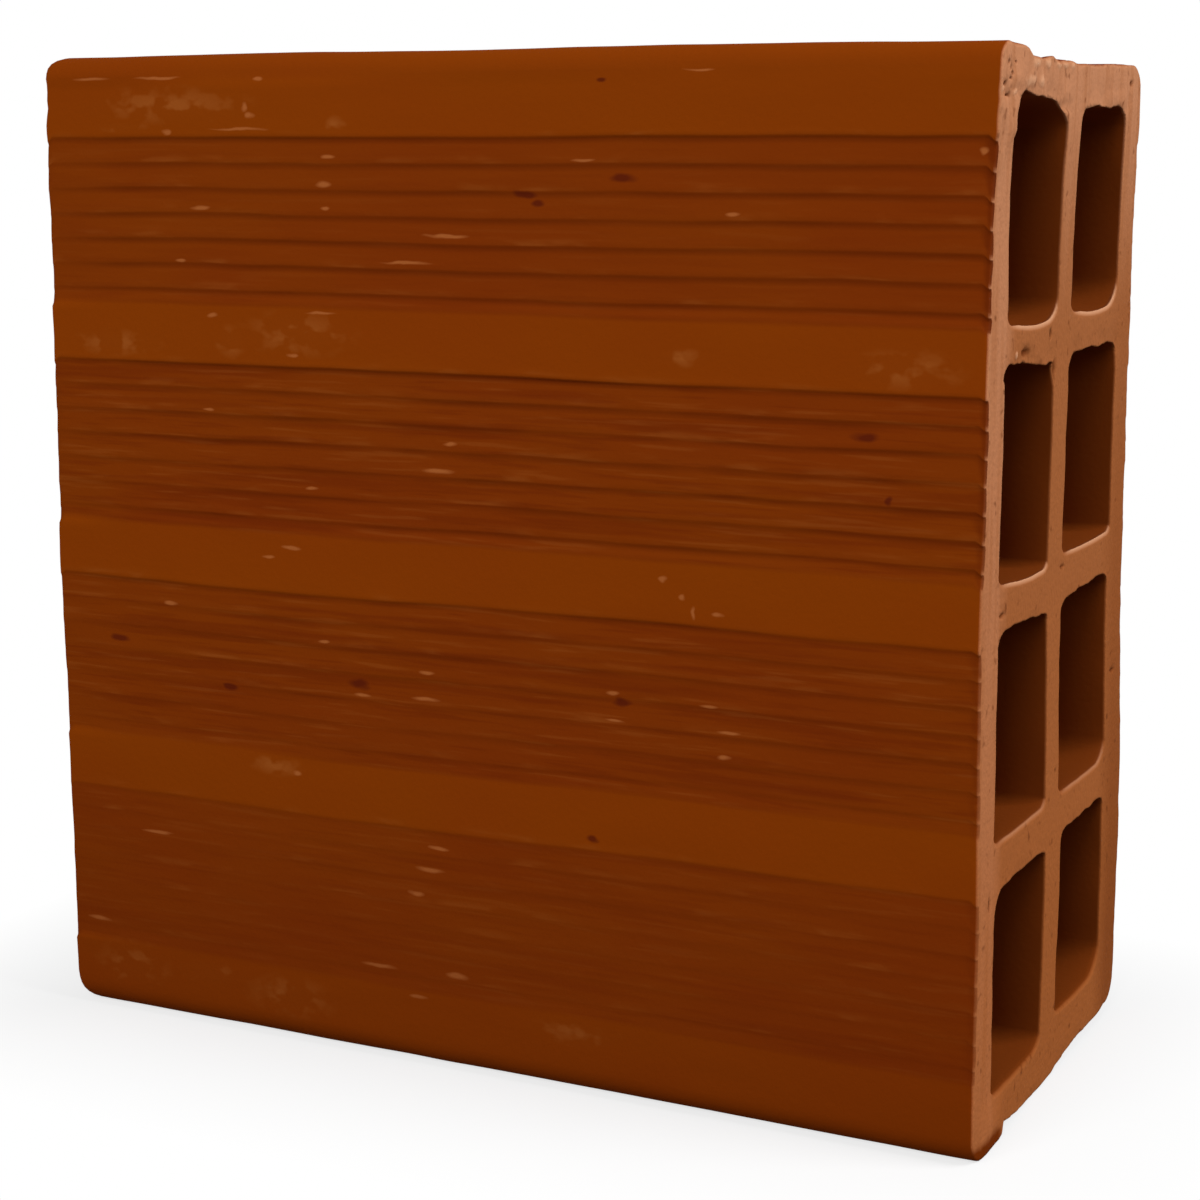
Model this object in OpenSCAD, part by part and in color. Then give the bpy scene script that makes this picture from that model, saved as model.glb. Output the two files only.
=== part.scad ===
// A hollow fired clay brick standing on its narrow face, in millimetres.
// It is one extrusion: a scored block with a grid of cells, pushed out along X and cut square at both ends.
// Origin at the bottom centre, +Z up, +X along the cells, -Y the broad scored face.

/* [Block] */
// Length along the cells, from one cut end to the other
brick_length = 190; // [90:1:390]
// Thickness from one broad face to the other
brick_depth = 90; // [76:1:140]
// Height as it stands
brick_height = 190; // [176:1:240]
// Radius of the four long outer corners
corner_radius = 5; // [2:0.5:10]

/* [Cells] */
// Number of cells side by side in the thickness
cell_columns = 2; // [1:1:3]
// Number of cells one over the other, and of scored zones on a broad face
cell_rows = 4; // [2:1:4]
// Wall between a cell and a broad face
face_wall = 8.5; // [6:0.5:12]
// Wall between a cell and the top or bottom face
bed_wall = 8.5; // [6:0.5:12]
// Upright web between two columns of cells
column_web = 9; // [5:0.5:14]
// Level web between two rows of cells
row_web = 7.5; // [5:0.5:12]
// Corner radius of a cell
cell_radius = 4; // [1:0.5:10]

/* [Scoring] */
// Grooves in each zone of a broad face
face_grooves = 7; // [3:1:7]
// Grooves in each zone of the top and bottom faces
bed_grooves = 5; // [2:1:5]
// Pitch of the grooves, and of the strips that lap between them
strip_pitch = 4.8; // [3.6:0.1:5.2]
// Height of a strip's lip over the floor of the groove beside it
lip_height = 0.35; // [0.2:0.05:1]
// Width of the steep side of a groove, under the lip
lip_fall = 0.8; // [0.3:0.1:1.5]
// Width of the last groove of a zone, whose soft side rises to the plain band
last_groove = 2.8; // [1.8:0.1:3.2]
// How far the lips of a broad face stay below its plain bands
face_drop = 0.3; // [0.1:0.05:1]
// How far the lips of the top and bottom faces stay below their plain bands
bed_drop = 1.2; // [0.1:0.05:1.6]
// Plain band between two zones
zone_band = 11.2; // [6:0.1:14]

/* [Hidden] */
// Sides with which a full circle is drawn
$fn = 32;
cell_depth = (brick_depth - 2 * face_wall - (cell_columns - 1) * column_web) / cell_columns;
cell_height = (brick_height - 2 * bed_wall - (cell_rows - 1) * row_web) / cell_rows;
// Scored zones of the top and bottom faces
bed_zones = 2;
// Cutting shapes reach this far out of the faces they cut
reach = 1;

// Length of one zone, from the steep side of its first groove to the end of its last
function zone_length(grooves) = (grooves - 1) * strip_pitch + last_groove;

// The plain band left at each end of a face of the given span
function edge_band(span, zones, grooves) =
    (span - zones * zone_length(grooves) - (zones - 1) * zone_band) / 2;

// The section of one zone, like lapped boards: a steep side falls under each lip,
// then the strip rises softly to the next lip. The last one rises to the band.
function strip_points(grooves, drop) = [
    for (i = [0 : grooves - 1])
    let (start = i * strip_pitch)
    each [
        [start, i == 0 ? 0 : -drop],
        [start + lip_fall, -drop - lip_height],
        if (i == grooves - 1) [start + last_groove, 0],
    ]
];

// A rectangle with rounded corners, centred
module rounded_rectangle(across, up, radius) {
    square([across - 2 * radius, up], center = true);
    square([across, up - 2 * radius], center = true);
    for (side = [-1, 1], end = [-1, 1])
        translate([side * (across / 2 - radius), end * (up / 2 - radius)])
            circle(radius);
}

// What the scoring takes off one zone, with the plain face along the X axis and the clay below it
module zone_cut(grooves, drop) {
    length = zone_length(grooves);
    polygon(concat([[length, reach], [0, reach]], strip_points(grooves, drop)));
}

// The zones of one face in a row, centred on the Y axis
module face_cut(span, zones, grooves, drop) {
    first = -span / 2 + edge_band(span, zones, grooves);
    for (i = [0 : zones - 1])
        translate([first + i * (zone_length(grooves) + zone_band), 0])
            zone_cut(grooves, drop);
}

// The scoring of all four long faces: the broad ones from the top down, the others from front to back
module scoring() {
    for (flip = [0, 1]) {
        mirror([flip, 0])
            rotate(-90)
                translate([0, brick_depth / 2])
                    face_cut(brick_height, cell_rows, face_grooves, face_drop);
        mirror([0, flip])
            translate([0, brick_height / 2])
                face_cut(brick_depth, bed_zones, bed_grooves, bed_drop);
    }
}

// The grid of cells
module cells() {
    for (column = [0 : cell_columns - 1], row = [0 : cell_rows - 1])
        translate([
            (column - (cell_columns - 1) / 2) * (cell_depth + column_web),
            (row - (cell_rows - 1) / 2) * (cell_height + row_web)
        ])
            rounded_rectangle(cell_depth, cell_height, cell_radius);
}

// The whole brick: the section pushed out along X
module brick() {
    color([0.62, 0.33, 0.16])
        translate([-brick_length / 2, 0, brick_height / 2])
            rotate([90, 0, 90])
                linear_extrude(brick_length)
                    difference() {
                        rounded_rectangle(brick_depth, brick_height, corner_radius);
                        scoring();
                        cells();
                    }
}

brick();
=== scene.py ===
"""A hollow fired clay brick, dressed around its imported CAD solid, in metres."""

import bpy
import numpy as np
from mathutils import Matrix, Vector, geometry


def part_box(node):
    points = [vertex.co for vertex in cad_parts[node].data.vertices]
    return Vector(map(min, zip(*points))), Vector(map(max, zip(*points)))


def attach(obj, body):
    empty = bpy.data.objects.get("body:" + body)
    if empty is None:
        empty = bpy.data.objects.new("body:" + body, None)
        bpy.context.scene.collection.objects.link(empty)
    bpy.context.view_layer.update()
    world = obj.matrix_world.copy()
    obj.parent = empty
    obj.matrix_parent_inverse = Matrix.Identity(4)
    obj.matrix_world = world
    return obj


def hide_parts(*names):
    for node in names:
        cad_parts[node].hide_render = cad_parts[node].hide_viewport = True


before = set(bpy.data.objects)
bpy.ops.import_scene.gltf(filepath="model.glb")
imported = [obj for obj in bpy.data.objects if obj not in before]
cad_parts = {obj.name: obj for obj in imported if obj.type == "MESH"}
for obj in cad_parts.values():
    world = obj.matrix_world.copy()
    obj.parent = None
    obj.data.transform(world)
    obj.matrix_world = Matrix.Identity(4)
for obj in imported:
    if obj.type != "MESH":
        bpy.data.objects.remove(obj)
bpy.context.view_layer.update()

# The skin of the brick: wet clay pushed through a die with a scored mouth.
# Plain bands stand a little proud of zones of scored strips, on all four long faces.
# The lines run a little wavy, and the cutting wire dragged their ends down and tore them back.
low, high = (np.array(corner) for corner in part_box("brick"))
length, depth, height = high - low
half_length = length / 2
half_depth = depth / 2
# The die's mouth: rounded corners, zones of grooves, the strips between them and the plain bands
corner_radius = 0.005
face_zones = 4
face_grooves = 7
bed_zones = 2
bed_grooves = 5
strip_pitch = 0.0048
lip_height = 0.00035
lip_fall = 0.0008
last_groove = 0.0028
face_drop = 0.00022
bed_drop = 0.0012
zone_band = 0.0112
# The bands that the brick stood on while wet have a squashed, rounded edge
foot_shoulder = 0.0011
shoulder_width = 0.0035
# The last groove of a zone closes in a fainter line and colour against the band below it
closing_share = 0.6
closing_width = 0.0008
# How far above a groove handling wore the clay paler, on a strip and on a plain band
strip_wear = 0.0016
band_wear = 0.0015
# The lines keep straight within corner_hold of a corner, and wander freely corner_ease further on
corner_hold = 0.006
corner_ease = 0.008
# Points of the mesh: down the steep and up the soft side of a groove, and in the bands beside a zone
face_points = (4, 4)
bed_points = (3, 2)
rows_over = np.array([0.0012, 0.0005])
row_under = 0.0007


def smooth_step(t):
    """Zero below 0, one above 1, and the curve 3t^2 - 2t^3 between."""
    t = np.clip(t, 0.0, 1.0)
    return t * t * (3.0 - 2.0 * t)


def clay_noise(u, v, seed):
    """Random heights from -1 to 1 on a unit lattice, blended by a smooth step between its points."""
    table = np.random.default_rng(seed).uniform(-1.0, 1.0, (256, 256))
    u, v = np.broadcast_arrays(u, v)
    column = np.floor(u).astype(int)
    row = np.floor(v).astype(int)
    across = smooth_step(u - column)
    up = smooth_step(v - row)
    column, next_column = column % 256, (column + 1) % 256
    row, next_row = row % 256, (row + 1) % 256
    lower = table[column, row] * (1 - across) + table[next_column, row] * across
    upper = table[column, next_row] * (1 - across) + table[next_column, next_row] * across
    return lower * (1 - up) + upper * up


def quarter_round(reach, width, drop):
    """How far an edge has drawn back at a distance reach from it: a quarter ellipse, width by drop."""
    t = np.clip(1.0 - reach / width, 0.0, 1.0)
    return drop * (1.0 - np.sqrt(1.0 - t * t))


def face_profile(span, zones, grooves, drop, shoulder, fall_points, rise_points):
    """Rows along a face: place, recess, groove, dark line, lip, tear, share passed and zone.
    Like lapped boards: a steep side falls under each lip, then the strip rises softly to the next lip."""
    zone_length = (grooves - 1) * strip_pitch + last_groove
    edge = (span - zones * zone_length - (zones - 1) * zone_band) / 2
    starts = edge + np.arange(zones) * (zone_length + zone_band)
    falls = np.linspace(0.0, lip_fall, fall_points)
    shares = np.linspace(0.0, 1.0, rise_points + 2)[1:]
    strip = np.concatenate([falls, lip_fall + (strip_pitch - lip_fall) * shares[:-1]])
    closing = np.concatenate([falls, lip_fall + (last_groove - lip_fall) * shares])
    index = np.concatenate([
        np.repeat(np.arange(grooves - 1), len(strip)),
        np.full(len(closing), grooves - 1),
    ])
    place = np.concatenate([np.tile(strip, grooves - 1), closing])
    first, last = index == 0, index == grooves - 1
    reach = np.where(last, last_groove, strip_pitch)
    run = index * strip_pitch + place
    fall = smooth_step(place / lip_fall)
    rise = np.clip((place - lip_fall) / (reach - lip_fall), 0.0, 1.0)
    line = fall * smooth_step(1.0 - (place - lip_fall) / lip_fall)
    closing_line = closing_share * smooth_step(1.0 - (last_groove - place) / closing_width)
    line = np.where(last, np.maximum(line, closing_line), line)
    recess = np.where(first, shoulder + (drop - shoulder) * fall, np.where(last, drop * (1 - rise), drop))
    zone = np.where(first, fall, np.where(last & (rise == 1), closing_share, 1.0))
    lip = np.where(place == 0, 1.0, smooth_step((place - strip_pitch) / strip_wear + 1.0))
    tear = np.where(place == 0, 0.0, 1.0 - place / reach)
    one_zone = np.stack([run, recess, fall * (1 - rise), line, lip, tear, run / zone_length, zone])
    shift = np.zeros((len(one_zone), 1))
    rows = []
    for start in starts:
        shift[0] = start
        rows.append(one_zone + shift)
    edges = np.linspace(corner_radius, edge, 8)[:-1]
    bands = (starts[:-1, None] + zone_length + zone_band * np.linspace(0, 1, 6)[1:-1]).ravel()
    above = (starts[:, None] - rows_over).ravel()
    below = starts + zone_length + row_under
    plain = np.concatenate([edges, bands, above, below, span - edges])
    to_start = np.abs(starts[:, None] - plain).min(axis=0)
    to_zone = np.minimum(to_start, np.abs(starts[:, None] + zone_length - plain).min(axis=0))
    none = np.zeros_like(plain)
    sunk = quarter_round(to_zone, shoulder_width, shoulder)
    worn = smooth_step(1 - to_start / band_wear)
    rows.append(np.stack([plain, sunk, none, none, worn, none, none, none]))
    rows = np.concatenate(rows, axis=1)
    return rows[:, np.argsort(rows[0])]


def face_rows(profile, y, z, normal_y, normal_z, slide_y, slide_z):
    """A face's profile set in the section: position, normal and slide first, then its own rows."""
    place = profile[0]
    head = [np.broadcast_to(value, place.shape) for value in (y, z, normal_y, normal_z, slide_y, slide_z)]
    return np.concatenate([np.stack(head), profile[1:]])


def corner_rows(side_y, side_z, start):
    """A quarter turn about a corner's centre from the angle start, without its two ends.
    Its nine other rows, for the slides and the scoring, are zero."""
    angle = start + np.linspace(0.0, np.pi / 2, 8)[1:-1]
    turn_y, turn_z = np.cos(angle), np.sin(angle)
    y = side_y * (half_depth - corner_radius) + corner_radius * turn_y
    z = height / 2 + side_z * (height / 2 - corner_radius) + corner_radius * turn_z
    return np.concatenate([np.stack([y, z, turn_y, turn_z]), np.zeros((9, len(angle)))])


def skin_outline():
    """The section's outer loop, anticlockwise seen from +X.
    The slides say how far a point may be carried along its face: none at the corners, all in the zones."""
    face = face_profile(height, face_zones, face_grooves, face_drop, 0.0, *face_points)
    upper = face_profile(depth, bed_zones, bed_grooves, bed_drop, 0.0, *bed_points)
    under = face_profile(depth, bed_zones, bed_grooves, bed_drop, foot_shoulder, *bed_points)
    face_slide = smooth_step((np.minimum(face[0], height - face[0]) - corner_hold) / corner_ease)
    bed_slide = smooth_step((np.minimum(upper[0], depth - upper[0]) - corner_hold) / corner_ease)
    return np.concatenate([
        face_rows(face, -half_depth, height - face[0], -1, 0, 0, face_slide),
        corner_rows(-1, -1, np.pi),
        face_rows(under, under[0] - half_depth, 0, 0, -1, bed_slide, 0),
        corner_rows(1, -1, 1.5 * np.pi),
        face_rows(face, half_depth, height - face[0], 1, 0, 0, face_slide)[:, ::-1],
        corner_rows(1, 1, 0.0),
        face_rows(upper, upper[0] - half_depth, height, 0, 1, bed_slide, 0)[:, ::-1],
        corner_rows(-1, 1, 0.5 * np.pi),
    ], axis=1)


def stations(first_step, growth, end_count, middle_count):
    """Places along the length: steps that grow from each cut end, then even steps across the middle."""
    reach = np.concatenate([[0.0], np.cumsum(first_step * growth ** np.arange(end_count))])
    middle = np.linspace(-half_length + reach[-1], half_length - reach[-1], middle_count + 2)[1:-1]
    return np.concatenate([-half_length + reach, middle, half_length - reach[::-1]])


# Sizes of the cells, which the torn clay over their roofs follows too
cell_columns = 2
cell_rows = 4
face_wall = 0.0085
bed_wall = 0.0085
column_web = 0.009
row_web = 0.0075
cell_depth = (depth - 2 * face_wall - (cell_columns - 1) * column_web) / cell_columns
cell_height = (height - 2 * bed_wall - (cell_rows - 1) * row_web) / cell_rows
torn_height = 0.004
torn_fade = 0.003
torn_overlap = 0.002


def torn_share(y, z):
    """One just over the roof of a cell, where the wire broke out of a web, and zero a little higher."""
    over_roof = (z - bed_wall - cell_height + torn_height / 2) % (cell_height + row_web)
    between = smooth_step((np.abs(y) - column_web / 3) / torn_fade)
    between = between * smooth_step((half_depth - face_wall + torn_overlap - np.abs(y)) / torn_fade)
    return smooth_step(1.5 - over_roof / torn_height) * between


# Cracks and small holes in the near cut end, the one at +X, and crumbs that stand out of it:
# y, z, half width and half height, written in millimetres
end_holes = 0.001 * np.array([
    (-41, 186.7, 0.9, 0.6), (-39.8, 185.8, 0.9, 0.6), (-38.8, 184.9, 0.8, 0.5), (-36.6, 186.7, 0.7, 0.4),
    (-40, 184.1, 1.3, 0.3), (-42.6, 183.2, 1.2, 0.5), (-40.4, 181.4, 1.6, 0.3), (37.6, 185, 1.4, 0.7),
    (-24.5, 138.8, 3.2, 1.1), (-6.8, 134.5, 1.6, 2.0), (-9.5, 141, 0.8, 1.4), (3, 98, 1.8, 0.5),
    (-34, 95, 1.8, 0.5), (40, 71.6, 1.8, 0.6), (-38, 45, 0.8, 2.0),
])
end_crumbs = 0.001 * np.array([
    (-43.4, 182.4, 1.4, 0.7), (-36.8, 182, 1.5, 0.6), (-28, 184, 2.8, 1.1), (-22, 184, 2.4, 1.0),
    (-30, 139, 1.0, 0.8), (-25, 187, 2.6, 1.0), (-19, 187, 1.9, 0.9), (-13, 187, 1.7, 0.8),
    (-9, 187, 1.9, 0.8), (-5, 187, 1.5, 0.8),
])
hole_depth = 0.0006
crumb_rise = 0.0002
# How steeply a hole or crumb rises from its edge, and how much noise shakes that edge
spot_slope = 1.4
spot_shake = 0.7


def spot_share(y, z, side, places):
    """One in the middle of each listed ellipse of the near end, falling to zero at its ragged edge."""
    ragged = spot_slope + spot_shake * clay_noise(y / 0.0011, z / 0.0008, 16)
    nearest = np.inf
    for spot_y, spot_z, half_wide, half_high in places:
        nearest = np.minimum(nearest, np.hypot((y - spot_y) / half_wide, (z - spot_z) / half_high))
    return np.where(side > 0, smooth_step(spot_slope - ragged * nearest), 0.0)


# The front foot of the near end has kept its skin under this height and in front of this place
nose_height = 0.0034
nose_rear = -0.029


def nose_share(y, z, side):
    """One on the front foot of the near end, whose lower edge is rounded and has kept its skin."""
    below = smooth_step((nose_height - z) / 0.0012)
    ahead = smooth_step((nose_rear - y) / 0.003)
    return np.where(side > 0, below * ahead, 0.0)


# The near end bows out, most at its foot and its top, and is turned a little out of square
bow_least = 0.0001
bow_foot = 0.0011
bow_top = 0.0005
turn_low = 0.00045
turn_top = 0.0006
# The far end leans out, but not at its top
far_lean = 0.0006
far_top_back = 0.0007
# Heights of the wire's slow waves, the lines of its drag, the grain, the torn crumbs and the flaking
wave_height = 0.00030
drag_line_height = 0.00004
grain_height = 0.00004
torn_crumb_height = 0.00040
flake_height = 0.00045
# How far the torn clay is sunk, and how far the toe of the front foot stands out
torn_sink = 0.00020
toe_length = 0.0006


def end_relief(y, z, side):
    """How far a cut end stands out of its plane along X: the wire's bow and slow waves, the upright lines
    of its drag, torn crumbs and small holes. The far end's lower and upper edges are worn round, and the
    near end's front foot has a toe."""
    bow = bow_least + bow_foot * smooth_step((0.095 - z) / 0.06) + bow_top * smooth_step((z - 0.15) / 0.04)
    turn = (turn_low + turn_top * smooth_step((z - 0.165) / 0.015)) * (0.5 - y / depth)
    lean = np.where(side > 0, bow + turn, far_lean - far_top_back * smooth_step((z - 0.165) / 0.02))
    waves = wave_height * clay_noise(y / 0.030 + 40 * side, z / 0.045, 11)
    lines = drag_line_height * clay_noise(y / 0.0030 + 90 * side, z / 0.030, 12)
    grain = grain_height * clay_noise(y / 0.0024, z / 0.0024 + 70 * side, 13)
    crumbs = clay_noise(y / 0.0042, z / 0.0026 + 30 * side, 14)
    upper_rows = 0.35 + 0.65 * smooth_step((z - 0.125) / 0.02)
    tears = torn_share(y, z) * upper_rows * (torn_crumb_height * crumbs - torn_sink)
    flaking = smooth_step(1.3 - np.hypot((y + 0.038) / 0.008, (z - 0.181) / 0.012))
    tears = tears + flake_height * flaking * clay_noise(y / 0.0030, z / 0.0020 + 50 * side, 15)
    worn = quarter_round(z, 0.0075, 0.0050) + quarter_round(height - z, 0.0022, 0.0018)
    toe = toe_length * smooth_step((0.012 - z) / 0.008) - quarter_round(z, 0.0012, 0.0004)
    toe = toe * smooth_step((y + half_depth) / 0.008) * smooth_step((-0.026 - y) / 0.005)
    worn = np.where(side < 0, worn, -toe)
    bits = crumb_rise * spot_share(y, z, side, end_crumbs) - hole_depth * spot_share(y, z, side, end_holes)
    return side * (lean + waves + lines + grain + tears - worn + bits)


# How far the wire dragged the lines down, and over what length of their ends
wire_drag = 0.0008
drag_length = 0.0015
# Length of a strip's torn end at its upper and lower edge, its depth, and its share on the other ends
tear_top = 0.0018
tear_foot = 0.0007
tear_depth = 0.00020
quiet_tear = 0.15
# Rounding of the cut edges, how far the strips lean in at the far end, and how far in an end's relief fades
edge_width = 0.0005
lean_in = 0.0004
end_reach = 0.014
# The skin turns to cut clay over this width of the edge
cut_edge = 0.0003
# Wide and fine wandering of the lines, and wide and fine unevenness of the faces
wander_wide = 0.00022
wander_fine = 0.00012
warp_wide = 0.00030
warp_fine = 0.00006
# How far the back bulges, all over and more at its foot, and how far the top is crowned and crumbled
bulge_least = 0.0008
bulge_foot = 0.0012
crown_far = 0.0006
crown_near = 0.0005
crumble_height = 0.0009
# How strongly shade is painted into the grooves, the torn strip ends and the rounded upper edges
line_painted_shade = 0.48
tear_painted_shade = 0.6
edge_painted_shade = 0.7

# How far the front's lines lie over their true places at the far and the near end, at these heights
line_heights = 0.001 * np.array([12, 35, 77, 120, 165, 180])
lines_left = 0.001 * np.array([0.0, 0.0, 0.7, 0.9, 0.5, 0.3])
lines_right = 0.001 * np.array([0.3, 1.2, 1.6, 1.2, 0.4, 0.2])

outline = skin_outline()
base_y, base_z, normal_y, normal_z, slide_y, slide_z = outline[:6]
recess, groove, line, lip, tear, passed, zone = outline[6:]
skin_x = stations(first_step=0.00015, growth=1.33, end_count=11, middle_count=60)[:, None]
skin_side = np.sign(skin_x)
skin_reach = half_length - np.abs(skin_x)
around = np.cumsum(np.hypot(np.diff(base_y, prepend=base_y[0]), np.diff(base_z, prepend=base_z[0])))
broad_face = np.abs(normal_y) > 0.99
front_face = normal_y < -0.99
up_share = np.maximum(normal_z, 0.0)
down_share = np.maximum(-normal_z, 0.0)
from_near_end = half_length - skin_x

# The lines wander, fade towards the foot of the brick, and drop where the wire went through
dragged = wire_drag * smooth_step(1.0 - skin_reach / drag_length)
dragged = dragged * (1.0 + 0.6 * clay_noise(skin_side * 7, around / 0.006, 21))
wander = wander_wide * clay_noise(skin_x / 0.032, around / 0.016, 22)
wander = wander + wander_fine * clay_noise(skin_x / 0.010, around / 0.004, 23)
raised_left = np.interp(base_z, line_heights, lines_left)
raised_right = np.interp(base_z, line_heights, lines_right)
rightward = smooth_step((skin_x + 0.04) / 0.10)
raised = np.where(front_face, raised_left + (raised_right - raised_left) * rightward, 0.0)
strength = np.where(broad_face, 0.10 + 0.62 * smooth_step((base_z - 0.02) / 0.12), 1.0 - 0.7 * down_share)
low_rows = np.where(broad_face, smooth_step((0.10 - base_z) / 0.03), 0.0)
strength = strength * (1.0 - 0.4 * low_rows * smooth_step(-skin_x / 0.08))
recess = recess * np.where(broad_face, 0.35 + 0.65 * smooth_step((base_z - 0.03) / 0.10), 1.0)
fading = 0.45 * clay_noise(skin_x / 0.020, around / 0.006, 24)
fading = fading + 0.35 * clay_noise(skin_x / 0.007, around / 0.004, 30)
fading = fading * (1.0 - 0.6 * smooth_step((base_z - 0.130) / 0.020))
strength = np.maximum(strength * (1.0 + fading), 0.05)
strength = strength * (1.0 - 0.8 * up_share * smooth_step(1.0 - from_near_end / 0.012))
strength = strength * (1.0 - 0.7 * smooth_step(1.0 - (skin_x + half_length) / 0.02))

# Each strip's end is torn back under the lip above it, most on the near end of the front
torn = np.where(broad_face, smooth_step(tear / 0.2), 0.0)
torn = torn * np.where(front_face & (skin_x > 0), 1.0, quiet_tear)
tear_reach = tear_foot + (tear_top - tear_foot) * tear
tear_reach = tear_reach * (1.0 + 0.4 * clay_noise(skin_side * 5, around / 0.003, 28))
torn_back = torn * quarter_round(skin_reach, tear_reach, tear_depth)

# How far the near end's top lies under its true place, and its foot over it,
# at places from front to rear, in millimetres
top_places = [-45, -36, -30, -27, -22, -9, 0, 26, 45]
top_falls = [0.0, 0.4, 0.7, 2.0, 2.4, 2.1, 2.5, 1.8, 2.0]
foot_places = [-45, -32, -30, -28.5, -27, -20, -8, 5, 18, 32, 38, 42, 45]
foot_rises = [0.0, 0.0, 0.2, 0.9, 1.8, 0.9, 0.0, 0.5, 2.2, 2.2, 2.6, 3.2, 3.6]

# The soft brick sagged: its faces are not quite flat and the back is fuller.
# The near end's top was pulled down and crumbled, and its foot was pulled up
warp = warp_wide * clay_noise(skin_x / 0.045, around / 0.035, 25)
warp = warp + warp_fine * clay_noise(skin_x / 0.009, around / 0.003, 26)
edge = edge_width * (1.0 + 0.5 * clay_noise(skin_side * 5, around / 0.004, 27)) * (1.0 - 0.5 * down_share)
leaning = np.where(broad_face, passed, 0.0) * lean_in * smooth_step(1.0 - (skin_x + half_length) / 0.015)
bulge = np.maximum(normal_y, 0.0) * (bulge_least + bulge_foot * smooth_step((0.10 - base_z) / 0.06))
bulge = bulge * (1.0 - 0.8 * smooth_step((base_z - 0.180) / 0.008))
crown = crown_far * smooth_step(1.0 - np.abs(skin_x + 0.045) / 0.045)
crown = up_share * (crown + crown_near * smooth_step(1.0 - np.abs(skin_x - 0.045) / 0.085))
near_top = up_share * smooth_step(1.0 - from_near_end / 0.14)
pulled = near_top * (0.001 * np.interp(1000 * base_y, top_places, top_falls) - recess)
crumbled = smooth_step(1.0 - np.abs(base_y + 0.012) / 0.010) * smooth_step(1.0 - from_near_end / 0.004)
crumbled = crumble_height * up_share * crumbled * clay_noise(skin_x / 0.0016, base_y / 0.0028, 29)
near_foot = smooth_step(1.0 - from_near_end / 0.05)
lifted = near_foot * smooth_step(1.0 - base_z / 0.014) * 0.001
lifted = lifted * np.interp(1000 * base_y, foot_places, foot_rises)
sink = recess * (1.0 - down_share * near_foot) + lip_height * groove * strength
sink = sink - warp - bulge - crown + leaning + pulled - crumbled
sink = sink + quarter_round(skin_reach, edge, edge) + torn_back
skin_y = base_y + slide_y * wander - normal_y * sink
skin_z = base_z + slide_z * (wander + raised - dragged) - normal_z * sink + lifted
skin_z = np.maximum(skin_z, 0.0)
skin_end = np.clip(1.0 - skin_reach / end_reach, 0.0, 1.0)
skin_points = np.stack([skin_x + skin_end * end_relief(skin_y, skin_z, skin_side), skin_y, skin_z], axis=-1)
# Where the torn strip ends are painted dark, as shade under the lips
in_tear = np.clip(torn * smooth_step(1.4 - skin_reach / tear_reach), 0.0, 1.0)
in_tear = in_tear * (0.4 + 0.6 * smooth_step((base_z - 0.05) / 0.10))
at_cut = smooth_step(1.0 - skin_reach / cut_edge) * (1.0 - 0.9 * in_tear)
line_shade_share = line_painted_shade * line * np.clip(strength, 0.0, 1.0)

# Marks for the finish: shares from zero to one at each point of the skin
mottle = 0.6 * clay_noise(skin_x / 0.011, around / 0.007, 31)
mottle = mottle + 0.4 * clay_noise(skin_x / 0.005, around / 0.003, 32)
blotch = 0.6 * clay_noise(skin_x / 0.050, around / 0.020, 33)
blotch = blotch + 0.4 * clay_noise(skin_x / 0.018, around / 0.009, 34)
worn_lip = lip * smooth_step((mottle + 0.35) / 0.9)
skin_marks = {
    "cut": at_cut * (1.0 - nose_share(base_y, base_z, skin_side)),
    # The grooves, the torn strip ends and the rounded upper edges are painted dark, as shade
    "dark": np.maximum(line_shade_share, tear_painted_shade * in_tear) + edge_painted_shade * up_share * (1 - up_share),
    "zone": zone + 0 * skin_x,
    "blotch": smooth_step(0.5 + 0.6 * blotch),
    "lip": worn_lip,
}

# The cells: the hollows left by the cores that hang in the die's mouth, open at both ends.
# The wire comes down through each web, so a web's lower edge is torn and its upper edge is drawn smooth.
floor_lip = 0.0007
side_lip = 0.00025
burr_length = 0.0018
bead_height = 0.0004
# The bead starts this far behind the end, and is strongest up to this far
bead_start = 0.0002
bead_reach = 0.0004
# How far behind the end the floors' rise and the walls' shift fade out, and the paler colour painted deep
# inside as light is reached
sag_length = 0.025
shift_length = 0.04
deep_reach = 0.035
# Raggedness of the roofs, wide and fine, of the rims, and unevenness of the walls
roof_ragged = 0.00035
roof_fine = 0.00012
rim_ragged = 0.00022
wall_swell = 0.00025
# Points along a roof, a front side, a floor and a rear side between the rounded corners
straight_counts = [26, 10, 14, 10]
# Width and height of each cell's rounded corners in millimetres, from the lowest cell up:
# upper rear, upper front, lower front and lower rear
front_corners = [
    [(3, 2), (5, 7), (2.5, 2.5), (5, 3)],
    [(3, 2), (5, 3), (3, 2), (3, 2)],
    [(2, 1.5), (4, 3), (3, 2), (3, 1.5)],
    [(13, 5), (7, 5), (3, 2.5), (6, 3)],
]
rear_corners = [
    [(3, 2), (4, 3), (3, 2), (9, 5.5)],
    [(3, 2), (4, 3), (3, 2), (6, 4)],
    [(3, 2), (6, 3.5), (3, 2), (2.5, 1.5)],
    [(4, 4), (11, 3.2), (3, 2.5), (7, 4.5)],
]
# How far each roof lies over its true place at its front and rear side, in millimetres,
# from the lowest cell up
front_roofs = [(0.4, 1.0), (0.9, 0.3), (1.1, -0.2), (1.2, -0.8)]
rear_roofs = [(2.0, 1.5), (0.7, 0.6), (0.5, 0.4), (-1.0, -0.8)]
# How far each floor is drawn up at the front and rear side of its near mouth, in millimetres,
# from the lowest cell up
front_floors = [(0.9, 0.3), (1.5, 1.3), (2.0, 0.3), (0.4, 0.3)]
rear_floors = [(3.4, 4.0), (1.8, 1.6), (1.8, 1.2), (0.7, 0.6)]
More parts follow.
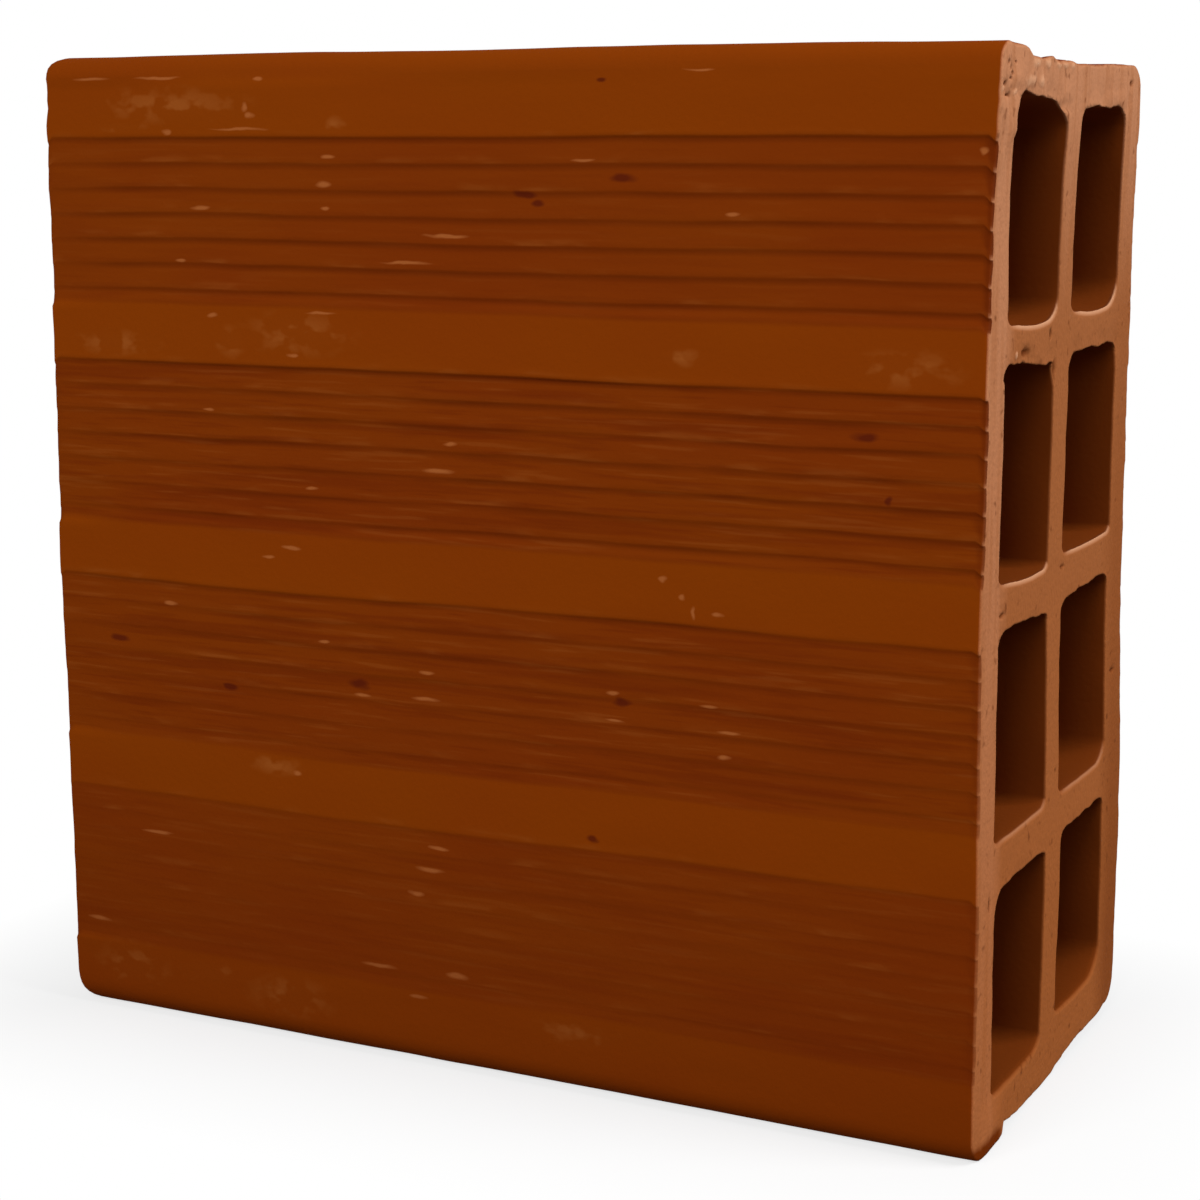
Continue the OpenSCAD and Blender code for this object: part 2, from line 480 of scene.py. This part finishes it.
# How far each row's floors sag at the middle of the near mouth, in millimetres
floor_sags = (0.3, 0.3, 0.5, 1.2)
# How strongly the wire drew each row's floors into a bead, coloured pale with a painted highlight
bead_shares = (0.0, 0.35, 0.9, 1.0)
# How far the walls stand out of line at the near mouths, from the frontmost wall to the rearmost,
# in millimetres, for each row from the lowest cell up
wall_places = np.array([-36.5, -4.5, 4.5, 36.5])
wall_shifts = [
    [1.2, -0.4, -0.1, -2.0], [0.9, -0.8, -1.7, -1.5], [0.5, -1.9, -2.0, -0.4], [1.2, -1.1, -1.7, -1.2],
]


def cell_outline(centre_y, centre_z, corners):
    """A cell's loop, anticlockwise seen from +X: y, z and normal out of the cell into the clay.
    Four quarter ellipses, joined by straight runs with the most points along the roof."""
    arcs = []
    for turn, (across, up) in enumerate(0.001 * np.array(corners)):
        side_y = 1 if turn in (0, 3) else -1
        side_z = 1 if turn in (0, 1) else -1
        angle = turn * np.pi / 2 + np.linspace(0.0, np.pi / 2, 8)
        normal = np.stack([np.cos(angle) / across, np.sin(angle) / up])
        normal = normal / np.hypot(*normal)
        y = centre_y + side_y * (cell_depth / 2 - across) + across * np.cos(angle)
        z = centre_z + side_z * (cell_height / 2 - up) + up * np.sin(angle)
        arcs.append(np.stack([y, z, *normal]))
    loop = []
    for turn, arc in enumerate(arcs):
        following = arcs[(turn + 1) % 4]
        share = np.linspace(0.0, 1.0, straight_counts[turn] + 2)[1:-1]
        loop += [arc, arc[:, -1:] * (1 - share) + following[:, :1] * share]
    return np.concatenate(loop, axis=1)


cell_x = stations(first_step=0.0002, growth=1.75, end_count=7, middle_count=4)[:, None]
cell_side = np.sign(cell_x)
cell_reach = half_length - np.abs(cell_x)
near_mouth = smooth_step(1.0 - cell_reach / burr_length)
on_bead = smooth_step(1.5 - cell_reach / bead_reach) * smooth_step(cell_reach / bead_start)
near_sag = smooth_step(1.0 - (half_length - cell_x) / sag_length)
shifted = smooth_step(1.0 - (half_length - cell_x) / shift_length)
cell_end = np.clip(1.0 - cell_reach / end_reach, 0.0, 1.0)
cell_points = []
cell_marks = {"cut": [], "cell": [], "deep": [], "bead": []}
front_shapes = zip(front_corners, front_roofs, front_floors)
rear_shapes = zip(rear_corners, rear_roofs, rear_floors)
for column, shapes in enumerate((front_shapes, rear_shapes)):
    for row, (corners, roof, floor_rise) in enumerate(shapes):
        seed = 40 + 10 * (column * cell_rows + row)
        middle_y = (column - (cell_columns - 1) / 2) * (cell_depth + column_web)
        middle_z = height / 2 + (row - (cell_rows - 1) / 2) * (cell_height + row_web)
        loop_y, loop_z, out_y, out_z = cell_outline(middle_y, middle_z, corners)
        across = np.clip((loop_y - middle_y) / cell_depth + 0.5, 0.0, 1.0)
        roof_rise = 0.001 * (roof[0] * (1 - across) + roof[1] * across)
        loop_z = loop_z + roof_rise * np.clip((loop_z - middle_z) / (cell_height / 2), 0.0, 1.0)
        on_floor = smooth_step(-out_z * 2)
        on_roof = smooth_step((out_z - 0.5) / 0.4)
        low_side = smooth_step((-0.25 - out_z) / 0.5)
        rim = side_lip + (floor_lip - side_lip) * on_floor
        ragged = roof_ragged * clay_noise(cell_side * 3, loop_y / 0.0060, seed)
        ragged = ragged + roof_fine * clay_noise(cell_side * 9, loop_y / 0.0018, seed + 1)
        fringe = rim_ragged * clay_noise(cell_side * 6, (loop_y + loop_z) / 0.0050, seed + 3)
        fringe = fringe * (1 - on_floor)
        lift = quarter_round(cell_reach, rim, rim) * (1 - on_roof)
        tapered = smooth_step(4.0 * across) * smooth_step(4.0 * (1.12 - across))
        bead = bead_shares[row] * low_side * tapered * on_bead
        lower_half = smooth_step(0.5 - (loop_z - middle_z) / cell_height)
        rise = (floor_rise[0] * (1 - across) + floor_rise[1] * across) * lower_half
        sag = 0.001 * (floor_sags[row] * np.sin(np.pi * across) * on_floor - rise) * near_sag
        swell = wall_swell * clay_noise(cell_x / 0.05, (loop_y + 2 * loop_z) / 0.02, seed + 2)
        outward = lift + swell + fringe * near_mouth - bead_height * bead
        shift = 0.001 * shifted * np.interp(1000 * loop_y, wall_places, wall_shifts[row])
        wall_y = loop_y + out_y * outward + shift
        wall_z = loop_z + out_z * outward - ragged * on_roof * near_mouth - sag
        wall_x = cell_x + cell_end * end_relief(wall_y, wall_z, cell_side)
        cell_points.append(np.stack([wall_x, wall_y, wall_z], axis=-1))
        cell_marks["cut"].append(smooth_step(1.2 - cell_reach / cut_edge) + 0 * loop_y)
        cell_marks["cell"].append(np.ones_like(wall_x))
        cell_marks["deep"].append(smooth_step(cell_reach / deep_reach) + 0 * loop_y)
        cell_marks["bead"].append(bead)


# The cut ends: flat faces of torn clay between the skin and the cells, where the wire went through.
# Each is a net of triangles on scattered points, because nine loops of different fineness bound it.
cut_spacing = 0.0010
# Share of the spacing by which a point is scattered
scatter_share = 0.3
# A row of points follows each rim at this distance
collar = 0.0003
# Points nearer to a rim than this are left out: scattered ones, and those of the rows beside the rims
scattered_room = 0.6 * cut_spacing
collar_room = 0.7 * collar
# Share of the pale colour with its painted highlight on the crumbs of the near end
crumb_paleness = 0.85


def tube_faces(first, rings, around_count, inward):
    """Quads between neighbouring rings of a closed loop, whose vertices are numbered from first."""
    ring, step = np.meshgrid(np.arange(rings - 1), np.arange(around_count), indexing="ij")
    following = (step + 1) % around_count
    here = first + ring * around_count
    beyond = here + around_count
    quads = np.stack([here + step, here + following, beyond + following, beyond + step], -1).reshape(-1, 4)
    return quads[:, ::-1] if inward else quads


def inside_loop(y, z, loop_y, loop_z):
    """True where a point lies inside a closed loop: a ray from it crosses the loop an odd number
    of times."""
    next_y, next_z = np.roll(loop_y, -1), np.roll(loop_z, -1)
    spans = (loop_z > z[:, None]) != (next_z > z[:, None])
    rise = np.where(next_z == loop_z, 1.0, next_z - loop_z)
    crossing = loop_y + (z[:, None] - loop_z) / rise * (next_y - loop_y)
    return np.sum(spans & (y[:, None] < crossing), axis=1) % 2 == 1


def loop_gap(y, z, loop_y, loop_z):
    """Distance from each point to the nearest point of a loop."""
    return np.sqrt(np.min((y[:, None] - loop_y) ** 2 + (z[:, None] - loop_z) ** 2, axis=1))


def beside_loop(loop, offset):
    """A loop's points moved to its left by the offset, square to the line between their two neighbours."""
    along = np.roll(loop, -1, axis=0) - np.roll(loop, 1, axis=0)
    left = np.stack([-along[:, 1], along[:, 0]], axis=1)
    return loop + offset * left / np.linalg.norm(left, axis=1, keepdims=True)


def spot_net():
    """Points for the small holes and crumbs: rings of ellipses inside each one, and its middle."""
    places = np.concatenate([end_holes, end_crumbs])
    angle = np.linspace(0.0, 2 * np.pi, 13)[:-1]
    share = np.array([0.0, 0.4, 0.75, 1.1])[:, None]
    y = places[:, 0, None, None] + places[:, 2, None, None] * share * np.cos(angle)
    z = places[:, 1, None, None] + places[:, 3, None, None] * share * np.sin(angle)
    rings = np.stack([y[:, 1:], z[:, 1:]], axis=-1).reshape(-1, 2)
    return np.concatenate([rings, places[:, :2]])


vertices = [skin_points.reshape(-1, 3)]
quads = [tube_faces(0, len(skin_x), len(base_y), False)]
loops = [(0, len(skin_x), len(base_y))]
count = len(vertices[0])
for points in cell_points:
    rings, around_count = points.shape[:2]
    vertices.append(points.reshape(-1, 3))
    quads.append(tube_faces(count, rings, around_count, True))
    loops.append((count, rings, around_count))
    count += rings * around_count
tube_count = count
walls = np.concatenate(vertices)
triangles = []
hole_shade_marks = []
crumb_marks = []
nose_marks = []
scatter = np.random.default_rng(5)
for side in (-1, 1):
    rims = [first + (0 if side < 0 else (rings - 1) * around_count) + np.arange(around_count)
            for first, rings, around_count in loops]
    across = np.arange(-half_depth, half_depth, cut_spacing)
    grid_y, grid_z = np.meshgrid(across, np.arange(0, height, cut_spacing))
    grid_y = (grid_y + scatter.uniform(-scatter_share, scatter_share, grid_y.shape) * cut_spacing).ravel()
    grid_z = (grid_z + scatter.uniform(-scatter_share, scatter_share, grid_z.shape) * cut_spacing).ravel()
    extra = [beside_loop(walls[rims[0], 1:], collar)]
    extra += [beside_loop(walls[rim, 1:], -collar) for rim in rims[1:]]
    if side > 0:
        extra.append(spot_net())
    extra = np.concatenate(extra)
    room = np.concatenate([np.full(len(grid_y), scattered_room), np.full(len(extra), collar_room)])
    grid_y = np.concatenate([grid_y, extra[:, 0]])
    grid_z = np.concatenate([grid_z, extra[:, 1]])
    for number, rim in enumerate(rims):
        rim_y, rim_z = walls[rim, 1], walls[rim, 2]
        keep = inside_loop(grid_y, grid_z, rim_y, rim_z) == (number == 0)
        keep &= loop_gap(grid_y, grid_z, rim_y, rim_z) > room
        grid_y, grid_z, room = grid_y[keep], grid_z[keep], room[keep]
    edges = []
    rim_start = 0
    for rim in rims:
        steps = rim_start + np.arange(len(rim))
        edges.append(np.stack([steps, np.roll(steps, -1)], axis=1))
        rim_start += len(rim)
    rim = np.concatenate(rims)
    flat = np.concatenate([walls[rim, 1:], np.stack([grid_y, grid_z], axis=1)])
    flat_points = [Vector(point) for point in flat.tolist()]
    net = geometry.delaunay_2d_cdt(flat_points, np.concatenate(edges).tolist(), [], 1, 1e-9)
    if len(net[0]) != len(flat):
        raise RuntimeError(f"the rims of a cut end cross: {len(net[0])} points from {len(flat)}")
    faces = np.array(net[2])
    centre = flat[faces].mean(axis=1)
    in_clay = inside_loop(centre[:, 0], centre[:, 1], walls[rims[0], 1], walls[rims[0], 2])
    for ring in rims[1:]:
        in_clay &= ~inside_loop(centre[:, 0], centre[:, 1], walls[ring, 1], walls[ring, 2])
    numbers = np.concatenate([rim, count + np.arange(len(grid_y))])
    faces = numbers[faces[in_clay]]
    triangles.append(faces if side > 0 else faces[:, ::-1])
    cut_x = side * half_length + end_relief(grid_y, grid_z, side)
    vertices.append(np.stack([cut_x, grid_y, grid_z], axis=1))
    hole_shade_marks.append(spot_share(grid_y, grid_z, side, end_holes))
    crumb_marks.append(crumb_paleness * spot_share(grid_y, grid_z, side, end_crumbs))
    nose_marks.append(nose_share(grid_y, grid_z, side))
    count += len(grid_y)

# The near end's holes are painted dark, as shade
cut_marks = {
    "cut": 1.0 - np.concatenate(nose_marks),
    "dark": np.concatenate(hole_shade_marks),
    "bead": np.concatenate(crumb_marks),
}
cell_marks = {
    name: np.concatenate([values.ravel() for values in rows])
    for name, rows in cell_marks.items()
}
brick_mesh = bpy.data.meshes.new("brick_body")
face_list = np.concatenate(quads).tolist() + np.concatenate(triangles).tolist()
brick_mesh.from_pydata(np.concatenate(vertices).tolist(), [], face_list)
brick_mesh.polygons.foreach_set("use_smooth", np.ones(len(face_list), dtype=bool))
stretches = [
    (skin_marks, skin_y.size),
    (cell_marks, tube_count - skin_y.size),
    (cut_marks, count - tube_count),
]
for name in ("cut", "cell", "deep", "bead", "dark", "zone", "blotch", "lip"):
    values = np.concatenate([np.ravel(marks.get(name, np.zeros(size))) for marks, size in stretches])
    brick_mesh.attributes.new(name, "FLOAT", "POINT").data.foreach_set("value", values.astype(np.float32))
brick_mesh.update()
brick_body = bpy.data.objects.new("brick_body", brick_mesh)
bpy.context.collection.objects.link(brick_body)
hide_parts("brick")
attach(brick_body, "root")

# The finish: matt fired clay, burnt brown on the skin and pink tan where the wire cut it open.
# Handling rubbed the bands and lips paler in places, and grit left small pits.
fired_clay = bpy.data.materials.new("fired_clay")
fired_clay.use_nodes = True
tree = fired_clay.node_tree
shader = tree.nodes["Principled BSDF"]


def add_node(kind, **settings):
    """A new node of the tree at work, with the given properties."""
    made = tree.nodes.new(kind)
    for key, value in settings.items():
        setattr(made, key, value)
    return made


def feed(socket, value):
    """Links a socket to an input, or sets a plain value on it."""
    if isinstance(value, bpy.types.NodeSocket):
        tree.links.new(value, socket)
    else:
        socket.default_value = value


def mixed(factor, first, second):
    """A colour that goes from first to second with factor; each is a colour or a socket.
    A Mix node's colours are its inputs 6 and 7 and its output 2."""
    mix = add_node("ShaderNodeMix", data_type="RGBA")
    feed(mix.inputs[0], factor)
    feed(mix.inputs[6], first)
    feed(mix.inputs[7], second)
    return mix.outputs[2]


def math_step(operation, first, second):
    """One arithmetic step on two numbers; each is a number or a socket."""
    step = add_node("ShaderNodeMath", operation=operation)
    feed(step.inputs[0], first)
    feed(step.inputs[1], second)
    return step.outputs[0]


def attribute(name):
    """A mark of the mesh, from zero to one."""
    return add_node("ShaderNodeAttribute", attribute_name=name).outputs["Fac"]


coordinates = add_node("ShaderNodeTexCoord").outputs["Object"]


def noise(waves, detail):
    """Noise on the brick's own coordinates, with a count of waves a metre along each axis."""
    mapping = add_node("ShaderNodeMapping")
    mapping.inputs["Scale"].default_value = waves
    feed(mapping.inputs["Vector"], coordinates)
    texture = add_node("ShaderNodeTexNoise")
    texture.inputs["Scale"].default_value = 1.0
    texture.inputs["Detail"].default_value = detail
    feed(texture.inputs["Vector"], mapping.outputs["Vector"])
    return texture.outputs["Fac"]


def ranged(value, low_end, high_end, low_out=0.0, high_out=1.0):
    """A value carried from one range to another and held at its ends."""
    ranging = add_node("ShaderNodeMapRange")
    feed(ranging.inputs["Value"], value)
    ranging.inputs["From Min"].default_value = low_end
    ranging.inputs["From Max"].default_value = high_end
    ranging.inputs["To Min"].default_value = low_out
    ranging.inputs["To Max"].default_value = high_out
    return ranging.outputs["Result"]


# Noise shakes the outlines of the marks on the front, along the length and the height
shake = (0.0030, 0.0, -0.0007)
shaken = add_node("ShaderNodeVectorMath", operation="MULTIPLY_ADD")
feed(shaken.inputs[0], noise((260, 260, 500), 1))
shaken.inputs[1].default_value = shake
feed(shaken.inputs[2], coordinates)
shaken_mean = np.array(shake) / 2
# Marks reach this far into the face
mark_depth = 0.01


def spots(places, inner):
    """One inside the listed ellipses on the front face, fading to zero from the share inner to their edge.
    A place is x, z, half length and half height in millimetres, measured from the brick's origin."""
    nearest = None
    for x, z, half_long, half_high in 0.001 * np.array(places):
        size = np.array([half_long, mark_depth, half_high])
        middle = np.array([x, -half_depth, z]) + shaken_mean
        offset = add_node("ShaderNodeVectorMath", operation="MULTIPLY_ADD")
        feed(offset.inputs[0], shaken.outputs["Vector"])
        offset.inputs[1].default_value = 1.0 / size
        offset.inputs[2].default_value = -middle / size
        away = add_node("ShaderNodeVectorMath", operation="LENGTH")
        feed(away.inputs[0], offset.outputs["Vector"])
        distance = away.outputs["Value"]
        nearest = distance if nearest is None else math_step("MINIMUM", nearest, distance)
    return ranged(nearest, inner, 1.0, 1.0, 0.0)


# Marks of handling and grit on the front, at -Y: crisp pale flecks, ragged rubbed patches and dark pits
flecks = [
    (-84, 186, 5, 0.35), (-68, 186, 6, 0.35), (-45, 185.5, 1, 0.5), (-48.5, 180.5, 0.8, 1.1),
    (-47.5, 179, 1, 0.7), (-66.5, 176, 1.2, 0.7), (-50, 176.5, 7, 0.35), (44, 186, 3, 0.25),
    (94, 172.5, 0.8, 0.8), (-31, 171.5, 1.7, 0.5), (-32, 166.5, 2, 0.7), (-59.5, 162, 3, 0.5),
    (-31, 162, 1.1, 0.45), (-6, 157.5, 5, 0.45), (-14.5, 152.5, 6, 0.35), (-64, 152, 1.2, 0.45),
    (21.5, 171, 3, 0.35), (50, 162, 1.5, 0.5), (-57.5, 142, 1.2, 0.7), (-33, 143, 4, 0.3),
    (-39.5, 135, 1.3, 0.5), (-59, 124, 1.2, 0.4), (-5.5, 120, 2, 0.5), (-8.5, 115, 4, 0.5),
    (-35.5, 110, 1.8, 0.45), (-40.5, 98.5, 2, 0.5), (-46, 96.5, 1.8, 0.45), (37.5, 98.5, 1, 0.8),
    (41.5, 95.5, 0.8, 0.7), (43, 93, 0.5, 1.4), (48, 93, 1.3, 0.5), (-69, 85.5, 2, 0.5),
    (-33.5, 81, 1.6, 0.45), (-25.5, 71.5, 2, 0.4), (-11, 77, 2, 0.45), (-11.5, 72, 3.5, 0.45),
    (27.5, 77, 1.8, 0.5), (28, 72, 1.6, 0.35), (46, 76.5, 2, 0.35), (50.5, 72, 2.7, 0.35),
    (49.5, 67.5, 2, 0.5), (-40.5, 54.5, 1.2, 0.6), (-74, 38.5, 4.5, 0.4), (-9.5, 43.5, 2, 0.5),
    (-11, 39, 3.3, 0.6), (-14, 34, 1.8, 0.6), (-89.5, 18.5, 3, 0.5), (-22.5, 18.5, 4.5, 0.5),
    (-5.5, 19, 2.4, 0.8), (-13.5, 13.5, 2.4, 0.5),
]
scuffs = [
    (-77, 177, 7, 1.2), (-66, 181, 22, 4), (-28.5, 177, 2.5, 2), (-53, 137, 4, 3.5), (-38, 139, 14, 5),
    (-80, 136, 12, 3), (41, 137.5, 5, 2), (82, 137, 12, 4), (-45, 55.5, 7, 2.5), (-43, 9, 12, 5),
    (-62, 11, 8, 3), (-81, 10, 10, 6), (20, 12, 11, 3),
]
pits = [
    (29, 168, 3, 0.9), (10, 165, 2.4, 0.8), (12.5, 163.5, 1.6, 0.8), (74.5, 125.5, 3.2, 1),
    (79, 115, 1.1, 1), (-81.5, 77.5, 2.4, 0.9), (-55, 70, 1.8, 0.9), (-25.5, 73.5, 2.8, 1.2),
    (29, 75.5, 2, 1), (23.5, 49.5, 1.6, 0.8), (25.5, 184.5, 1.2, 0.5),
]

# Colours of the skin, of the marks on it, of the cut clay and of the cells
band_colour = (0.191, 0.0335, 0.0005, 1.0)
band_red = (0.187, 0.0305, 0.0007, 1.0)
zone_colour = (0.166, 0.0275, 0.0008, 1.0)
zone_red = (0.156, 0.0225, 0.0009, 1.0)
line_colour = (0.120, 0.0150, 0.0007, 1.0)
painted_shade_colour = (0.080, 0.0095, 0.0006, 1.0)
foot_shade_colour = (0.098, 0.0110, 0.0006, 1.0)
rubbed_colour = (0.255, 0.066, 0.0100, 1.0)
fleck_colour = (0.320, 0.095, 0.0230, 1.0)
pit_colour = (0.070, 0.0070, 0.0020, 1.0)
cut_pale = (0.485, 0.206, 0.1000, 1.0)
cut_pale_shaded = (0.410, 0.132, 0.0430, 1.0)
cut_warm = (0.338, 0.116, 0.0400, 1.0)
cut_warm_shaded = (0.345, 0.102, 0.0260, 1.0)
cut_rear_low = (0.230, 0.060, 0.0130, 1.0)
cut_dark_and_shade = (0.130, 0.030, 0.0060, 1.0)
pale_highlight_colour = (0.620, 0.310, 0.1700, 1.0)
cell_colour = (0.175, 0.035, 0.0040, 1.0)
deep_painted_light = (0.380, 0.076, 0.0095, 1.0)
# How strongly the flecks and pits show, and the depth of the grain on the skin and on cut clay
fleck_strength = 0.75
pit_strength = 0.8
skin_grain = 0.00005
cut_grain = 0.00016

# The skin: bands and zones in redder blotches, streaks along the zones, painted shade in the grooves, the
# torn strip ends and the rounded upper edges, then the marks.
# The foot of the brick is painted darker, as shade
streak = noise((18, 300, 430), 2)
smear = noise((80, 200, 400), 2)
zone_share = attribute("zone")
blotch_share = attribute("blotch")
painted_shade_share = attribute("dark")
plain = mixed(blotch_share, band_colour, band_red)
scored = mixed(blotch_share, zone_colour, zone_red)
skin = mixed(zone_share, plain, scored)
position = add_node("ShaderNodeSeparateXYZ")
feed(position.inputs[0], coordinates)
streaky = math_step("MULTIPLY", zone_share, ranged(position.outputs["Z"], 0.150, 0.130, 0.3, 1.0))
streaky = math_step("MULTIPLY", streaky, ranged(position.outputs["Z"], 0.045, 0.060, 0.55, 1.0))
skin = mixed(math_step("MULTIPLY", ranged(streak, 0.53, 0.66, 0.0, 0.5), streaky), skin, line_colour)
scratch = noise((55, 300, 1000), 2)
skin = mixed(math_step("MULTIPLY", ranged(scratch, 0.44, 0.32, 0.0, 0.45), streaky), skin, line_colour)
skin = mixed(math_step("MULTIPLY", ranged(scratch, 0.58, 0.70, 0.0, 0.22), streaky), skin, rubbed_colour)
# Painted shade in the grooves, under the torn strip ends and on the rounded upper edges
skin = mixed(painted_shade_share, skin, painted_shade_colour)
patchy = noise((210, 300, 320), 2)
smeared = math_step("MULTIPLY", ranged(patchy, 0.50, 0.62, 0.05, 0.75), spots(scuffs, 0.2))
lip_flecks = math_step("MULTIPLY", ranged(smear, 0.52, 0.64, 0.05, 0.4), attribute("lip"))
skin = mixed(math_step("MAXIMUM", smeared, lip_flecks), skin, rubbed_colour)
skin = mixed(math_step("MULTIPLY", spots(flecks, 0.4), fleck_strength), skin, fleck_colour)
skin = mixed(math_step("MULTIPLY", spots(pits, 0.45), pit_strength), skin, pit_colour)
# Painted shade towards the foot of the skin
skin = mixed(ranged(position.outputs["Z"], 0.055, 0.0, 0.0, 0.40), skin, foot_shade_colour)

# The cut clay: palest on the front wall, painted paler at the top as light and darker low down as shade,
# most at the rear, with upright lines of drag, dark crumbs and the holes
upright = noise((400, 420, 30), 1)
crumb = noise((420, 420, 420), 1)
grain = noise((900, 900, 900), 1)
shade_low_down = ranged(position.outputs["Z"], 0.185, 0.02)
front_side = ranged(position.outputs["Y"], face_wall - half_depth + 0.006, face_wall - half_depth)
light_at_top = ranged(position.outputs["Z"], 0.142, 0.182)
rear_side = ranged(position.outputs["Y"], 0.030, 0.040, 0.0, 0.9)
outer_cut = mixed(shade_low_down, cut_pale, cut_pale_shaded)
inner_cut = mixed(shade_low_down, cut_warm, cut_warm_shaded)
inner_cut = mixed(math_step("MULTIPLY", rear_side, shade_low_down), inner_cut, cut_rear_low)
cut = mixed(math_step("MAXIMUM", front_side, light_at_top), inner_cut, outer_cut)
cut = mixed(ranged(upright, 0.45, 0.65, 0.0, 0.4), cut, inner_cut)
cut = mixed(ranged(crumb, 0.66, 0.78, 0.0, 0.6), cut, cut_dark_and_shade)
# Painted shade in the holes of the near end
cut = mixed(painted_shade_share, cut, cut_dark_and_shade)
# The cells are painted paler deep inside than at their mouths, as painted light that makes up for the light
# falling off inside them
clay = mixed(attribute("cell"), skin, mixed(attribute("deep"), cell_colour, deep_painted_light))
cut_share = attribute("cut")
clay = mixed(cut_share, clay, cut)
# The floors' beads and the near end's crumbs: pale clay with a painted highlight
clay = mixed(attribute("bead"), clay, pale_highlight_colour)
feed(shader.inputs["Base Color"], clay)
shader.inputs["Roughness"].default_value = 0.85
shader.inputs["Specular IOR Level"].default_value = 0.02

bump = add_node("ShaderNodeBump")
bump.inputs["Distance"].default_value = 1.0
grain_depth = ranged(cut_share, 0.0, 1.0, skin_grain, cut_grain)
feed(bump.inputs["Height"], math_step("MULTIPLY", grain, grain_depth))
feed(shader.inputs["Normal"], bump.outputs["Normal"])
brick_mesh.materials.append(fired_clay)

# The studio: a pale matt floor under the brick, in a white surround.
# One soft lamp stands in front of the brick and above it, and one to its right.
floor_reach = 12.0
floor_corners = [
    (-floor_reach, -floor_reach, 0),
    (floor_reach, -floor_reach, 0),
    (floor_reach, floor_reach, 0),
    (-floor_reach, floor_reach, 0),
]
floor_mesh = bpy.data.meshes.new("floor")
floor_mesh.from_pydata(floor_corners, [], [(0, 1, 2, 3)])
floor = bpy.data.objects.new("floor", floor_mesh)
bpy.context.collection.objects.link(floor)
floor_paint = bpy.data.materials.new("floor_paint")
floor_paint.use_nodes = True
tree = floor_paint.node_tree
floor_shader = tree.nodes["Principled BSDF"]
floor_shader.inputs["Roughness"].default_value = 1.0
floor_shader.inputs["Specular IOR Level"].default_value = 0.0
floor_bounce = (0.10, 0.10, 0.10, 1.0)
floor_pale = (0.80, 0.80, 0.80, 1.0)
# Share of pure white in the floor beside the brick, and the distance at which it is all white
fade_least = 0.70
fade_reach = 0.05


def seen_straight():
    """One for a ray from the camera, a mirror or a glass, and zero for light between surfaces."""
    path = add_node("ShaderNodeLightPath")
    seen = path.outputs["Is Camera Ray"]
    for name in ("Is Glossy Ray", "Is Transmission Ray"):
        seen = math_step("MAXIMUM", seen, path.outputs[name])
    return seen


seen = seen_straight()
feed(floor_shader.inputs["Base Color"], mixed(seen, floor_bounce, floor_pale))
# Away from the brick and its shadow the floor fades into the white surround
past_sides = add_node("ShaderNodeTexCoord").outputs["Object"]
distance_steps = [
    ("ABSOLUTE", None),
    ("SUBTRACT", (half_length, half_depth, 1.0)),
    ("MAXIMUM", (0.0, 0.0, 0.0)),
]
for operation, limit in distance_steps:
    step = add_node("ShaderNodeVectorMath", operation=operation)
    feed(step.inputs[0], past_sides)
    if limit:
        step.inputs[1].default_value = limit
    past_sides = step.outputs["Vector"]
from_brick = add_node("ShaderNodeVectorMath", operation="LENGTH")
feed(from_brick.inputs[0], past_sides)
far_off = ranged(from_brick.outputs["Value"], 0.0, fade_reach, fade_least, 1.0)
white_light = add_node("ShaderNodeEmission")
fade = add_node("ShaderNodeMixShader")
feed(fade.inputs[0], math_step("MULTIPLY", seen, far_off))
feed(fade.inputs[1], floor_shader.outputs[0])
feed(fade.inputs[2], white_light.outputs[0])
feed(tree.nodes["Material Output"].inputs["Surface"], fade.outputs[0])
floor_mesh.materials.append(floor_paint)

world = bpy.data.worlds.new("surround")
bpy.context.scene.world = world
world.use_nodes = True
tree = world.node_tree
sky = tree.nodes["Background"]
sky_fill = (0.19, 0.19, 0.19, 1.0)
sky_white = (1.0, 1.0, 1.0, 1.0)
feed(sky.inputs["Color"], mixed(seen_straight(), sky_fill, sky_white))


def add_softbox(name, place, target, size, power):
    """A square lamp of the given size at a place, turned towards a target."""
    lamp = bpy.data.lights.new(name, "AREA")
    lamp.size = size
    lamp.energy = power
    holder = bpy.data.objects.new(name, lamp)
    holder.location = place
    holder.rotation_euler = (Vector(target) - Vector(place)).to_track_quat("-Z", "Y").to_euler()
    bpy.context.collection.objects.link(holder)


brick_middle = (0.0, 0.0, height / 2)
add_softbox("front_top", (0.0, -0.90, 0.52), brick_middle, size=0.7, power=9.4)
add_softbox("right_side", (0.90, 0.06, 0.75), brick_middle, size=0.6, power=11.0)

# The camera stands where the photograph was taken from, in front of the brick and to its right.
# It looks down a little, through a lens that is longer than normal.
camera_place = (0.21933, -0.43155, 0.17294)
camera_view = (-0.44172, 0.87893, -0.17989)
camera_data = bpy.data.cameras.new("camera")
camera_data.lens = 74.06
camera_data.sensor_width = 36.0
camera_data.clip_start = 0.01
camera = bpy.data.objects.new("camera", camera_data)
camera.location = camera_place
camera.rotation_euler = Vector(camera_view).to_track_quat("-Z", "Y").to_euler()
bpy.context.collection.objects.link(camera)
bpy.context.scene.camera = camera
bpy.context.scene.view_settings.view_transform = "Standard"
